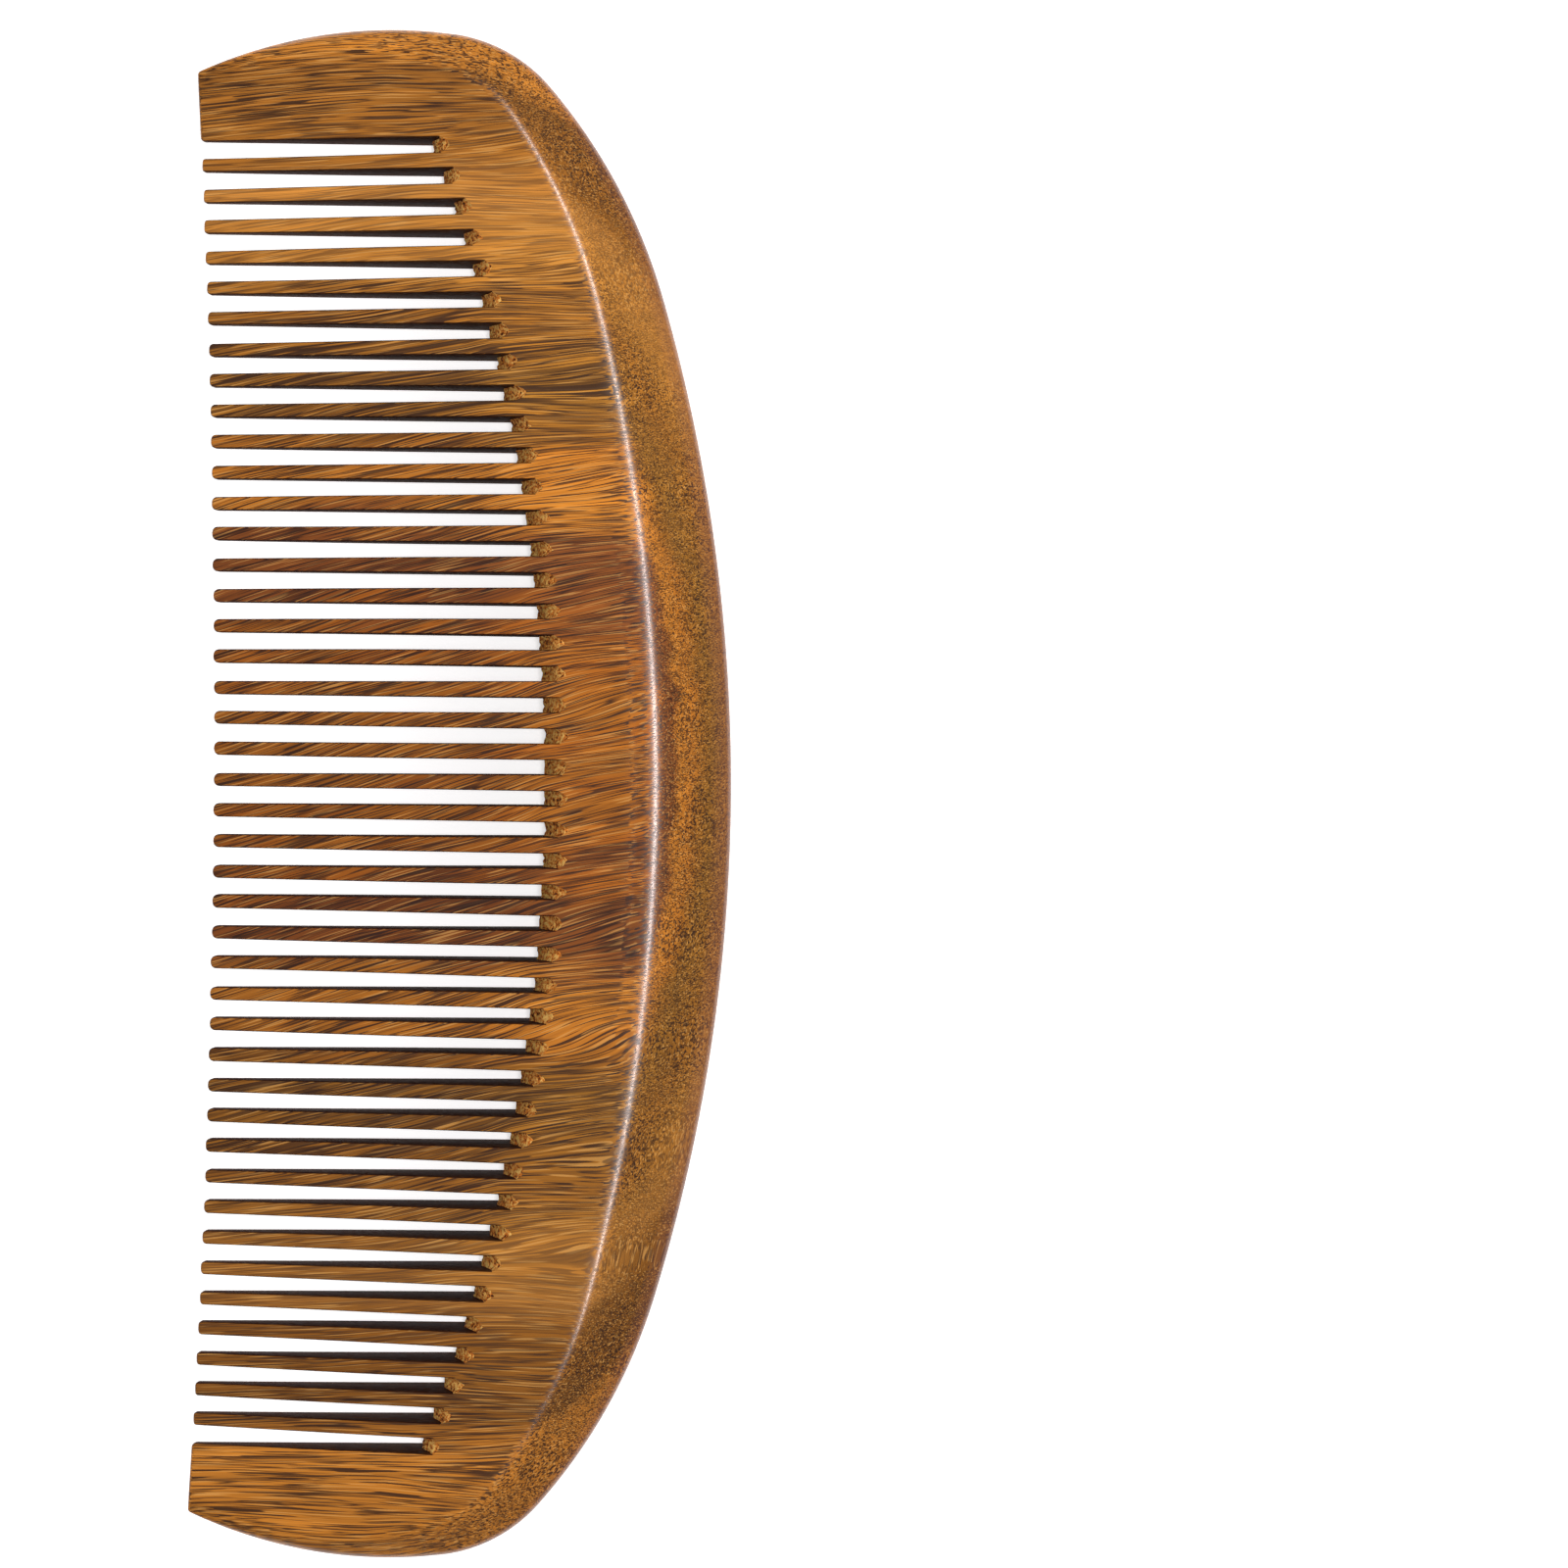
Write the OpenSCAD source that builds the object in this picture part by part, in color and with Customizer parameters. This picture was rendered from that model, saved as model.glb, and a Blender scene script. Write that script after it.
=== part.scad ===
// Beard comb: one flat wooden board with a curved back, fine sawn teeth and a wide guard at each end.
// It lies on its lower face. Z is up, Y runs along the comb and -X points to the tooth tips.
// The origin is under the middle of the comb, on the surface that it lies on.

/* [Overall size] */
// Length along the teeth row
comb_len = 180; // [174:1:186]
// Depth from the middle tooth tips to the back edge
comb_depth = 61.6; // [60:0.2:64]
// Thickness of the board before its two faces are tapered
stock_thick = 10.8; // [10.6:0.1:12]
// Thickness at the tips of the middle teeth
tip_thick = 1.4; // [1.2:0.1:1.8]
// Slope of each face from the middle plane, in degrees
face_slope = 5.15; // [4.8:0.05:5.4]

/* [Back edge] */
// Slope of the bevel that runs round the outline, in degrees
bevel_slope = 30; // [27:1:34]
// Radius of the blunt outer edge
nose_r = 1.3; // [1:0.1:1.6]
// Radius that blends the bevel into the faces
blend_r = 8; // [6:0.5:9]

/* [Teeth] */
// Number of fine teeth
tooth_count = 42; // [38:2:42]
// Distance from tooth to tooth
tooth_pitch = 3.62; // [3.5:0.02:3.64]
// Width of a tooth near its tip
tooth_tip_w = 1.57; // [1.5:0.01:1.7]
// Width of a tooth at its root
tooth_root_w = 1.93; // [1.8:0.01:2.1]
// Corner radius of the middle tips, which are almost fully round
mid_tip_r = 0.72; // [0.5:0.01:0.74]
// Corner radius of the outermost tips, which are squarer
end_tip_r = 0.35; // [0.2:0.05:0.45]

/* [Gullets] */
// Depth of the middle gaps, from the tip line to the cusp between the two saw cuts
gap_depth = 39.5; // [37:0.5:40]
// Radius of the arc that the bottoms of the gaps follow
root_arc_r = 215; // [205:5:230]
// Slope of the sawn ramp from the cusp out to each face, in degrees from the vertical
gullet_slope = 35; // [25:1:40]

/* [Guards] */
// Radius of the inner corner at a guard's tip
guard_tip_r = 0.5; // [0.3:0.1:0.8]
// Radius of the long arc that all the tips follow
tip_arc_r = 1430; // [1200:10:2000]

/* [Hidden] */
TOOTH_NAMES = [for (i = [1:tooth_count]) str("tooth_", i < 10 ? "0" : "", i)];

guard_wood = [0.64, 0.47, 0.23];
spine_wood = [0.62, 0.42, 0.20];
tooth_wood = [0.56, 0.38, 0.18];

// Degrees of arc between two points of the outline, and steps in each small corner arc
outline_step = 2.8;
corner_steps = 6;

// The outline of each half is four arcs, each tangent to the next: back, shoulder, corner and end.
// Radii are shares of the comb's length, and headings are the directions of the arcs' first radii.
// corner_y is where the end arc meets the line of the tips.
arc_r = comb_len * [1.138, 0.372, 0.1033, 0.317];
arc_heading = [0, 16.6, 40.9, 82.1, 128];
corner_y = comb_len * 0.4739;

function along(a) = [cos(a), sin(a)];
function arc_points(centre, r, from, to) =
    [for (k = [0:corner_steps]) centre + r * along(from + (to - from) * k / corner_steps)];

// Centre of each arc: the next centre lies on the radius where two arcs meet
function arc_centre(i) =
    i == 0 ? [comb_depth - arc_r[0], 0]
           : arc_centre(i - 1) + (arc_r[i - 1] - arc_r[i]) * along(arc_heading[i]);

// Steps of the shaped edge, each with its inset from the outline and its half thickness: a blunt
// nose, then the straight bevel, and then a round blend into the face of the board
half_stock = stock_thick / 2;
nose_join = nose_r * [1 - sin(bevel_slope), cos(bevel_slope)];
blend_drop = blend_r * (1 - cos(bevel_slope));
blend_start = nose_join[0] + (half_stock - blend_drop - nose_join[1]) / tan(bevel_slope);
blend_end = blend_start + blend_r * sin(bevel_slope);
nose_steps = [for (a = [10:10:90 - bevel_slope]) nose_r * [1 - cos(a), sin(a)]];
blend_steps = [for (a = [bevel_slope:-bevel_slope / 5:0])
    [blend_end - blend_r * sin(a), half_stock - blend_r * (1 - cos(a))]];
edge_steps = concat(nose_steps, [nose_join], blend_steps);

// Rows of teeth and gaps along Y: gap i is above tooth i, and tooth 1 is next to the left guard
function gap_y(i) = (tooth_count / 2 + 1 - i) * tooth_pitch;
function tooth_y(i) = gap_y(i) - tooth_pitch / 2;
function root_x(i) = gap_depth - root_arc_r + sqrt(root_arc_r * root_arc_r - gap_y(i) * gap_y(i));
function tooth_root_x(i) = min(root_x(i), root_x(i + 1));
function tip_x(y) = -y * y / (2 * tip_arc_r);
function tip_r(y) = mid_tip_r + (end_tip_r - mid_tip_r) * pow(y / tooth_y(1), 2);

gap_tip_w = tooth_pitch - tooth_tip_w;
gap_root_w = tooth_pitch - tooth_root_w;
guard_root_x = root_x(1);
ramp_run = tan(gullet_slope) * half_stock;

// Half thickness between the two sloping faces
function half_thick(x) = tip_thick / 2 + x * tan(face_slope);

// Reach in X of the solid between the faces, past both the tips and the back edge
taper_min_x = -comb_len / 30;
taper_max_x = comb_depth + blend_r;

// Reach of the comb in X once it lies on its lower face, which centres it on the origin
guard_tip_x = tip_x(corner_y);
lie_min_x = guard_tip_x * cos(face_slope) - half_thick(guard_tip_x) * sin(face_slope);
lie_max_x = (comb_depth - nose_r) * cos(face_slope) + nose_r;

// Lays a shape that is built about the comb's middle plane on its lower face, centred on the origin
module lay_flat() {
    translate([-(lie_min_x + lie_max_x) / 2, 0, tip_thick / 2 * cos(face_slope)])
        rotate([0, -face_slope, 0])
            children();
}

// Turns a drawing of X against Z into a solid that reaches across Y from one side to the other
module across(from, to) {
    translate([0, to, 0])
        rotate([90, 0, 0])
            linear_extrude(to - from)
                children();
}

// Solid between the two sloping faces
module taper() {
    across(-comb_len, comb_len)
        polygon([
            [taper_min_x, half_thick(taper_min_x)],
            [taper_max_x, half_thick(taper_max_x)],
            [taper_max_x, -half_thick(taper_max_x)],
            [taper_min_x, -half_thick(taper_min_x)]
        ]);
}

// Outline of the board, moved inward by inset
function outline(inset) =
    let (half = [for (i = [0:3]) for (a = [arc_heading[i]:outline_step:arc_heading[i + 1] - 1])
        arc_centre(i) + (arc_r[i] - inset) * along(a)])
    concat(half, [for (i = [len(half) - 1:-1:1]) [half[i][0], -half[i][1]]]);

// The board before its faces are tapered: each step of the edge is a flat plate
module board() {
    hull()
        for (step = edge_steps)
            translate([0, 0, -step[1]])
                linear_extrude(2 * step[1])
                    polygon(outline(step[0]));
}

// The tapered board
module blank() {
    intersection() {
        board();
        taper();
    }
}

// Room of one sawn gap: its sides widen toward the tips and its bottom is a cusp between two ramps
module gap(i) {
    intersection() {
        translate([0, gap_y(i), -half_stock])
            linear_extrude(stock_thick)
                polygon([
                    [0, gap_tip_w / 2],
                    [0, -gap_tip_w / 2],
                    [gap_depth, -gap_root_w / 2],
                    [gap_depth + ramp_run, -gap_root_w / 2],
                    [gap_depth + ramp_run, gap_root_w / 2],
                    [gap_depth, gap_root_w / 2]
                ]);
        across(gap_y(i) - tooth_pitch, gap_y(i) + tooth_pitch)
            polygon([
                [taper_min_x, half_stock],
                [root_x(i) + ramp_run, half_stock],
                [root_x(i), 0],
                [root_x(i) + ramp_run, -half_stock],
                [taper_min_x, -half_stock]
            ]);
    }
}

// The thick back of the comb, down to the roots of the teeth, which step along the root arc
module spine() {
    steps = [for (i = [1:tooth_count]) for (side = [1, -1])
        [tooth_root_x(i), tooth_y(i) + side * tooth_pitch / 2]];
    color(spine_wood)
        lay_flat()
            difference() {
                intersection() {
                    blank();
                    translate([0, 0, -half_stock])
                        linear_extrude(stock_thick)
                            polygon(concat(
                                [[taper_max_x, comb_len], [guard_root_x, comb_len]],
                                steps,
                                [[guard_root_x, -comb_len], [taper_max_x, -comb_len]]
                            ));
                }
                for (i = [1:tooth_count + 1])
                    gap(i);
            }
}

// The wide outer tooth at one end; side 0 is the left end, at +Y, and side 1 the right end
module end_guard(side) {
    inner_y = gap_y(1) + gap_tip_w / 2;
    root_y = inner_y - (gap_tip_w - gap_root_w) / 2 * guard_root_x / gap_depth;
    nose_x = tip_x(inner_y) + guard_tip_r;
    color(guard_wood)
        lay_flat()
            mirror([0, side, 0])
                intersection() {
                    blank();
                    translate([0, 0, -half_stock])
                        linear_extrude(stock_thick)
                            polygon(concat(
                                [[guard_root_x, root_y], [guard_root_x, comb_len]],
                                [[guard_tip_x, comb_len], [guard_tip_x, corner_y]],
                                arc_points([nose_x, inner_y + guard_tip_r], guard_tip_r, 180, 270)
                            ));
                }
}

// One fine tooth, with its tip on the long tip arc and its root on the spine
module tooth(i) {
    y = tooth_y(i);
    r = tip_r(y);
    start = tip_x(y);
    end = tooth_root_x(i);
    root_w = tooth_tip_w + (tooth_root_w - tooth_tip_w) * end / gap_depth;
    color(tooth_wood)
        lay_flat()
            intersection() {
                translate([0, y, -half_stock])
                    linear_extrude(stock_thick)
                        polygon(concat(
                            [[end, -root_w / 2], [end, root_w / 2]],
                            arc_points([start + r, tooth_tip_w / 2 - r], r, 90, 180),
                            arc_points([start + r, r - tooth_tip_w / 2], r, 180, 270)
                        ));
                taper();
            }
}

spine();
end_guard(0);  // end_guard_left
end_guard(1);  // end_guard_right
for (i = [1:tooth_count])
    tooth(i);
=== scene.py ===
"""A fine-toothed beard comb cut from one board of polished, streaky wood, lying on a pale floor.

The comb is drawn about its middle plane: u runs from the tips to the back edge, v along the row of
teeth and w through the thickness, all in millimetres. lay() turns that into the frame's metres.
"""

import math

import bmesh
import bpy
import numpy as np
from mathutils import Matrix, Vector


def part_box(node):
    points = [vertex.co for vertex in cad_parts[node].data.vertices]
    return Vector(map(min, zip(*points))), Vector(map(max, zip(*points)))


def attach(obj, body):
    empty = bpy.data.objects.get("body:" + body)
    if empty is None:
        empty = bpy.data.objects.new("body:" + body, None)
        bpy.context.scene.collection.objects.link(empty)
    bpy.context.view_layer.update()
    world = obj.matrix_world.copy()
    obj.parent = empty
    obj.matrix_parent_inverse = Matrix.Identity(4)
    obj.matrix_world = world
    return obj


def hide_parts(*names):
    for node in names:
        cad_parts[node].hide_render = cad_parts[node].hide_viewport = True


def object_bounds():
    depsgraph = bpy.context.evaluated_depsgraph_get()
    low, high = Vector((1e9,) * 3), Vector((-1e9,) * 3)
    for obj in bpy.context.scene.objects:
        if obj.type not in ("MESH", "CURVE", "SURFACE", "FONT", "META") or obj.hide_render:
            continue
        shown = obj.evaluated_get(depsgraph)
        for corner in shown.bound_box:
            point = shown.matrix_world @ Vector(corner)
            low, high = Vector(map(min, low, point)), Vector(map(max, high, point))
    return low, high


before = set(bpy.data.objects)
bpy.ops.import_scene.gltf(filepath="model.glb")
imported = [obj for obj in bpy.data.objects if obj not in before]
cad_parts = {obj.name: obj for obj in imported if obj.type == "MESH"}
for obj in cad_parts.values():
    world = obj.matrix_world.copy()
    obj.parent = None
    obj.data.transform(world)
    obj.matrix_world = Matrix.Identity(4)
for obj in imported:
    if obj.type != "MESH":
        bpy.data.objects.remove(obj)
cad_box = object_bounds()

# ---------------------------------------------------------------- sizes that the frame gives

MM = 0.001
TEETH = sorted(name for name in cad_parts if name.startswith("tooth_"))
GUARDS = {1: "end_guard_left", -1: "end_guard_right"}  # by the sign of v at their end


def box_mm(node):
    """Lowest and highest corner of a node, in millimetres."""
    low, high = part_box(node)
    return np.array(low) / MM, np.array(high) / MM


mid_low, mid_high = box_mm(TEETH[len(TEETH) // 2 - 1])
end_high = box_mm(TEETH[0])[1]
LENGTH = (cad_box[1][1] - cad_box[0][1]) / MM
# The upper corners of the teeth lie on the upper face, which slopes twice as steeply as the middle plane
SLOPE = 0.5 * math.asin((mid_high[2] - end_high[2]) / (mid_high[0] - end_high[0]))
SIN, COS, TAN = math.sin(SLOPE), math.cos(SLOPE), math.tan(SLOPE)
mid_run = mid_high[0] - mid_low[0]
TIP_HALF = (mid_high[2] - math.sin(2 * SLOPE) * mid_run) / (2 * COS * math.cos(2 * SLOPE))
SHIFT = mid_low[0] + TIP_HALF * SIN

# ---------------------------------------------------------------- named sizes, in millimetres

NOSE_R = 1.3  # blunt outer edge
BEVEL = math.radians(30)  # slope of the bevel round the outline
BLEND_R = 8.0  # blends the bevel into the faces
HALF_STOCK = 5.4  # half thickness of the board before its faces were tapered
ROUNDING = 3.0  # width of the sanded edge where the board is thin
CREASE = 0.6  # softens the line where a face meets the bevel
THIN_CREASE = 0.25  # the most that the crease may be, as a share of the half thickness
RIM_FADE = 2.0  # width inside the outline over which the crease and the sanding fade in
SANDING = 0.016  # height of the slow unevenness that hand sanding leaves
SANDING_FADE = 4.0  # length over which it fades in behind the teeth
ARC_SHARES = (1.138, 0.372, 0.1033, 0.317)  # radii of the outline's arcs, as shares of the length
HEADINGS = [math.radians(a) for a in (0, 16.6, 40.9, 82.1, 128)]  # ends of the arcs, from the back round
TOOTH_TAPER = 0.0091  # width that a tooth gains for each millimetre towards its root
TIP_ARC_R = 1430.0  # long arc that the tips follow
ROOT_ARC_R = 215.0  # arc that the roots follow
TIP_CORNER_MID, TIP_CORNER_END = 0.72, 0.35  # corner radii of the middle and the outermost tips
EDGE_R = 0.2  # sanded long edges of the teeth
SHADED_EDGE_FACETS = 2  # facets of each sanded edge that take the sawn wall's finish: a painted dark outline of shade along the edge
GUARD_CORNER = 0.5  # inner corner of a guard's tip
RAMP = math.tan(math.radians(35))  # run of a gullet's sawn ramp for each millimetre of height
DEPTH = (box_mm("spine")[1][0] - SHIFT - NOSE_R) / COS + NOSE_R
RADII = [share * LENGTH for share in ARC_SHARES]


def arc_centres():
    """Centres of the outline's arcs: the next one lies on the radius where two arcs meet."""
    centres = [np.array([DEPTH - RADII[0], 0.0])]
    for i in range(1, len(RADII)):
        along = np.array([math.cos(HEADINGS[i]), math.sin(HEADINGS[i])])
        centres.append(centres[-1] + (RADII[i - 1] - RADII[i]) * along)
    return centres


CENTRES = arc_centres()
END_CENTRE, END_R = CENTRES[3], RADII[3]
NOSE_IN, NOSE_UP = NOSE_R * (1 - math.sin(BEVEL)), NOSE_R * math.cos(BEVEL)
BLEND_START = NOSE_IN + (HALF_STOCK - BLEND_R * (1 - math.cos(BEVEL)) - NOSE_UP) / math.tan(BEVEL)
BLEND_END = BLEND_START + BLEND_R * math.sin(BEVEL)


def tooth_root(node):
    """u of a tooth's root plane, from the lower corner of its root."""
    return (box_mm(node)[1][0] - SHIFT - TIP_HALF * SIN) * COS


ROOTS = [tooth_root(name) for name in TEETH]
CENTRE_V = [float(box_mm(name)[0][1] + box_mm(name)[1][1]) / 2 for name in TEETH]
ROOT_W = [float(box_mm(name)[1][1] - box_mm(name)[0][1]) for name in TEETH]
PITCH = CENTRE_V[0] - CENTRE_V[1]
MID_GAP = len(TEETH) // 2
# A tooth is cut back to the shallower of its two gaps, so its root is also the bottom of that gap
GAP_ROOTS = ROOTS[:MID_GAP] + [ROOTS[MID_GAP - 1]] + ROOTS[MID_GAP:]
GAP_V = [CENTRE_V[0] + PITCH / 2 - PITCH * i for i in range(len(TEETH) + 1)]
GUARD_ROOT = ROOTS[0]
GUARD_IN = GAP_V[0] + (PITCH - ROOT_W[0]) / 2


def lay(points):
    """Frame coordinates, in metres, of points drawn about the middle plane."""
    u, v, w = np.asarray(points, float).T
    x = u * COS - w * SIN + SHIFT
    z = u * SIN + w * COS + TIP_HALF * COS
    return np.stack([x, v, z], axis=1) * MM


# ---------------------------------------------------------------- the board's surface


def face_half(u):
    """Half thickness between the two sloping faces."""
    return TIP_HALF + u * TAN


def edge_half(d):
    """Half thickness that the shaped edge allows at d inside the outline."""
    if d < NOSE_IN:
        return math.sqrt(max(NOSE_R**2 - (NOSE_R - d) ** 2, 0))
    if d < BLEND_START:
        return NOSE_UP + (d - NOSE_IN) * math.tan(BEVEL)
    if d < BLEND_END:
        return HALF_STOCK - BLEND_R + math.sqrt(BLEND_R**2 - (BLEND_END - d) ** 2)
    return HALF_STOCK


def half_thickness(u, d):
    """The face and the shaped edge, joined by a soft crease."""
    face = face_half(u)
    inward = 1 - min(max(d, 0) / ROUNDING, 1)
    face_limit = face * math.sqrt(1 - inward * inward)
    edge_limit = edge_half(max(d, 0))
    soft = min(CREASE, THIN_CREASE * face) * min(1, max(d, 0) / RIM_FADE)
    low = min(face_limit, edge_limit)
    if soft == 0:
        return low
    mixed = max(soft - abs(face_limit - edge_limit), 0) / soft
    return low - mixed * mixed * soft / 4


def sanding(u, v, d, start):
    """Hand sanding's unevenness: slow waves, all below the true face, that are still at u = start."""
    broad = math.sin(v / 7.1 + 0.8) * math.sin(u / 9.3 + v / 23.0)
    narrow = 0.7 * math.sin(v / 3.9 + u / 11.0)
    highest = 1.7
    fade = min(1, max(u - start, 0) / SANDING_FADE) * min(1, d / RIM_FADE)
    return SANDING * (broad + narrow - highest) * fade


def rim_point(heading, d):
    """(u, v) at d inside the outline, on the radius with this heading."""
    i = max(k for k in range(len(RADII)) if abs(heading) >= HEADINGS[k])
    u = CENTRES[i][0] + (RADII[i] - d) * math.cos(heading)
    v = CENTRES[i][1] + (RADII[i] - d) * math.sin(abs(heading))
    return u, math.copysign(v, heading)


def heading_at(v, d):
    """Heading whose point at d inside the outline lies at v, found by halving."""
    halvings = 40
    low, high = 0.0, math.pi / 2
    for _ in range(halvings):
        middle = (low + high) / 2
        if rim_point(middle, d)[1] < abs(v):
            low = middle
        else:
            high = middle
    return math.copysign(low, v)


def end_arc_v(u, d):
    """v at which the end arc, moved inward by d, crosses this u."""
    return END_CENTRE[1] + math.sqrt((END_R - d) ** 2 - (u - END_CENTRE[0]) ** 2)


# Insets of the points across the rim: evenly over the bevel, then closer round the outer edge
PAST_BLEND = 0.3
RIM_IN = BLEND_END + PAST_BLEND
BEVEL_STEPS, ROUND_STEPS = 22, 10
RIM = [RIM_IN + (ROUNDING - RIM_IN) * i / BEVEL_STEPS for i in range(BEVEL_STEPS)]
RIM += [ROUNDING * (1 - math.sin(math.pi / 2 * i / ROUND_STEPS)) for i in range(ROUND_STEPS + 1)]

# A rounded long edge, as steps across and down from a sharp one, for a corner radius of 1
CORNER_POINTS = 4
CORNER = [(1 - math.sin(a), 1 - math.cos(a)) for a in np.linspace(0, math.pi / 2, CORNER_POINTS)]


def quarter_turn(reach, start, count):
    """Distances from a tip at which rings stand round its curved end, closest at the tip itself."""
    return [reach * (1 - math.cos(a)) for a in np.linspace(start, math.pi / 2, count)]


def cut_away(radius, s):
    """How far a corner of this radius has drawn back at s from the tip."""
    return radius - math.sqrt(radius**2 - (radius - s) ** 2)


# ---------------------------------------------------------------- closed meshes out of loops

# finishes: WALL is the dark sawn finish, partly painted shade
POLISHED, WALL, GULLET = 0, 1, 2
SAME_PLACE = 4  # decimals of a millimetre to which points in one place agree
SHARP = math.radians(40)  # faces that meet at a greater angle than this don't blend


class Loft:
    """A closed mesh skinned over loops that all have the same number of points."""

    def __init__(self):
        self.points = []
        self.faces = []
        self.finishes = []
        self.numbers = {}

    def number(self, place):
        """Number of a point; points in the same place share one."""
        key = tuple(round(float(c), SAME_PLACE) for c in place)
        if key not in self.numbers:
            self.numbers[key] = len(self.points)
            self.points.append(key)
        return self.numbers[key]

    def face(self, corners, finish):
        """One face, without the corners that fall on the one before, or none if it has no area."""
        ring = [c for i, c in enumerate(corners) if c != corners[i - 1]]
        if len(ring) > 2:
            self.faces.append(ring)
            self.finishes.append(finish)

    def skin(self, loops, finish_of):
        """Faces between neighbouring loops, and a polished cap on the first and the last one."""
        rings = [[self.number(p) for p in loop] for loop in loops]
        for row, (a, b) in enumerate(zip(rings, rings[1:])):
            for k in range(len(a)):
                self.face([a[k - 1], a[k], b[k], b[k - 1]], finish_of(row, k))
        self.face(rings[0], POLISHED)
        self.face(rings[-1], POLISHED)

    def build(self, node, materials):
        """The finished piece, which stands for one node."""
        mesh = bpy.data.meshes.new("wood_" + node)
        mesh.from_pydata(lay(self.points).tolist(), [], self.faces)
        for material in materials:
            mesh.materials.append(material)
        mesh.polygons.foreach_set("material_index", self.finishes)
        smooth(mesh)
        piece = bpy.data.objects.new("wood_" + node, mesh)
        bpy.context.scene.collection.objects.link(piece)
        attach(piece, "root")
        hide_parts(node)
        return piece


def smooth(mesh):
    """Turns every face outward and blends the shading of faces that meet at a small angle."""
    work = bmesh.new()
    work.from_mesh(mesh)
    bmesh.ops.recalc_face_normals(work, faces=work.faces)
    for part in work.faces:
        part.smooth = True
    for edge in work.edges:
        edge.smooth = len(edge.link_faces) == 2 and edge.calc_face_angle() <= SHARP
    work.to_mesh(mesh)
    work.free()


# ---------------------------------------------------------------- one fine tooth

TOOTH_SEED = 100
TIP_SHORT = 0.1  # the most that a tooth is short of the long arc
TIP_LEAN, SHANK_BEND = 0.07, 0.05  # the most that a tip leans and a shank bends to either side
TIP_SWELL = (0.96, 1.03)  # narrowest and widest tip, as a share of the even taper
TIP_START = 0.12  # angle round a tip's corner where its mesh begins, in radians
TIP_RINGS, SHANK_RINGS = 7, 22
TOOTH_NOSE, NOSE_DROP = 0.3, 0.6  # reach of a tip's softened end, and its drop as a share of a quarter turn
MOST_ROUND = 0.95  # the most of a half width or thickness that a rounded edge takes
WIDEST_CORNER = 0.48  # the most of a tooth's width that a tip's corner takes


def tooth_section(half_w, half_t):
    """Closed loop of (v, w) round a tooth, with rounded corners."""
    r = min(EDGE_R, half_w * MOST_ROUND, half_t * MOST_ROUND)
    right = [(half_w - r * across, half_t - r * down) for across, down in CORNER]
    upper = [(-v, w) for v, w in reversed(right)] + [(0.0, half_t)] + right
    return upper + [(v, -w) for v, w in reversed(upper)]


def tooth_finish(row, k):
    """The two upright sides of a tooth are sawn and dark; the nearest facets of the rounded edges take the
    same finish as a painted dark outline of shade, and the rest is polished.
    """
    half = 2 * len(CORNER) + 1
    from_side = min(k % half, half - k % half)
    return WALL if from_side <= SHADED_EDGE_FACETS else POLISHED


def tip_corner(v, width):
    """Corner radius of the tip at v: the middle tips are almost round and the outer ones squarer."""
    share = (v / CENTRE_V[0]) ** 2
    return min(TIP_CORNER_MID + (TIP_CORNER_END - TIP_CORNER_MID) * share, WIDEST_CORNER * width)


def build_tooth(index, materials):
    """One tooth, which leans, bends and swells a little, as no two are cut alike."""
    rng = np.random.default_rng(TOOTH_SEED + index)
    v, root, root_w = CENTRE_V[index], ROOTS[index], ROOT_W[index]
    tip = -v * v / (2 * TIP_ARC_R) + rng.uniform(0.0, TIP_SHORT)
    lean = rng.uniform(-TIP_LEAN, TIP_LEAN)
    swell = rng.uniform(*TIP_SWELL)
    bend = rng.uniform(-SHANK_BEND, SHANK_BEND)
    corner = tip_corner(v, root_w - TOOTH_TAPER * (root - tip))
    steps = quarter_turn(corner, TIP_START, TIP_RINGS)
    steps += list(np.linspace(corner, root - tip, SHANK_RINGS)[1:])
    loops = []
    for s in steps:
        u = tip + s
        t = s / (root - tip)
        half_w = (root_w - TOOTH_TAPER * (root - u)) / 2 * (swell + (1 - swell) * t)
        half_t = face_half(u)
        if s < corner:
            half_w -= cut_away(corner, s)
        if s < TOOTH_NOSE:
            half_t -= NOSE_DROP * cut_away(TOOTH_NOSE, s)
        side = lean * (1 - t) + bend * math.sin(math.pi * t)
        loops.append([(u, v + side + a, w) for a, w in tooth_section(half_w, half_t)])
    loft = Loft()
    loft.skin(loops, tooth_finish)
    return loft.build(TEETH[index], materials)


# ---------------------------------------------------------------- one guard

GUARD_STEPS = 14  # columns of the face between the end arc and the first gap
GUARD_NOSE = 0.45  # reach of a guard's softened tip
GUARD_THIN = 0.4  # thickness at the very tip, as a share of the full one
GUARD_DRAWN = 0.3  # how far the outline draws back at the very tip
GUARD_TIP_RINGS, GUARD_RINGS = 6, 34


def guard_columns():
    """v of the spine's columns beside a guard, from the end arc in to the first gap."""
    start = math.acos((GUARD_ROOT - END_CENTRE[0]) / (END_R - RIM_IN))
    stop = heading_at(GUARD_IN + EDGE_R, RIM_IN)
    spread = [start + (stop - start) * k / GUARD_STEPS for k in range(GUARD_STEPS + 1)]
    return [rim_point(heading, RIM_IN)[1] for heading in spread]


def guard_fractions():
    """Shares of the way from a guard's inner side to the outline, where its points lie."""
    outer = end_arc_v(GUARD_ROOT, 0)
    places = [end_arc_v(GUARD_ROOT, d) for d in reversed(RIM)] + guard_columns()[1:]
    return [(v - GUARD_IN) / (outer - GUARD_IN) for v in places]


def guard_u(v, t):
    """u on a guard's cross-section: the line of the tips at t = 0 and the root plane at t = 1."""
    return -v * v / (2 * TIP_ARC_R) * (1 - t) + GUARD_ROOT * t


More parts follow.
